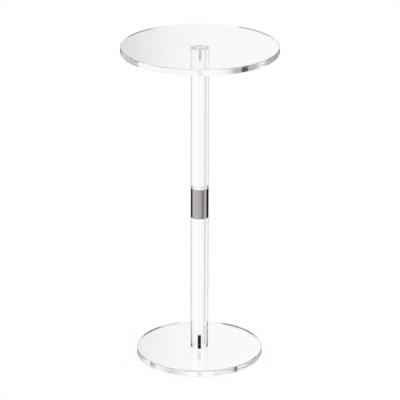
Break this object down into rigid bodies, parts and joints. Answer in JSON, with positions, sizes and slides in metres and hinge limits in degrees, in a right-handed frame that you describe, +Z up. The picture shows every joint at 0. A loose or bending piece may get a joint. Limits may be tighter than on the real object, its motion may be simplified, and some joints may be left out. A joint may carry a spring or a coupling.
{
  "type": "wine table",
  "caption": "Small round drinks table in clear acrylic: a disc top and a disc base on a slim two-part rod column with a chromed collar at its middle, held by countersunk screws.",
  "frame": {"origin": "centre of the underside of the base, on the floor", "axes": "+Z up along the column, towards the table top; the table is round, so X and Y are any two level directions"},
  "size_m": [0.3048, 0.3048, 0.635],
  "materials": {
    "clear_acrylic": "polished",
    "chromed_steel": "polished",
    "stainless_steel": "satin",
    "black_oxide_steel": "satin",
    "zinc_plated_steel": "satin"
  },
  "bodies": {
    "root": {"table_top": "clear_acrylic", "top_screw": "stainless_steel", "upper_rod": "clear_acrylic", "upper_joiner": "zinc_plated_steel", "collar": "chromed_steel", "lower_joiner": "zinc_plated_steel", "lower_rod": "clear_acrylic", "base_screw": "black_oxide_steel", "base_plate": "clear_acrylic"}
  },
  "joints": []
}
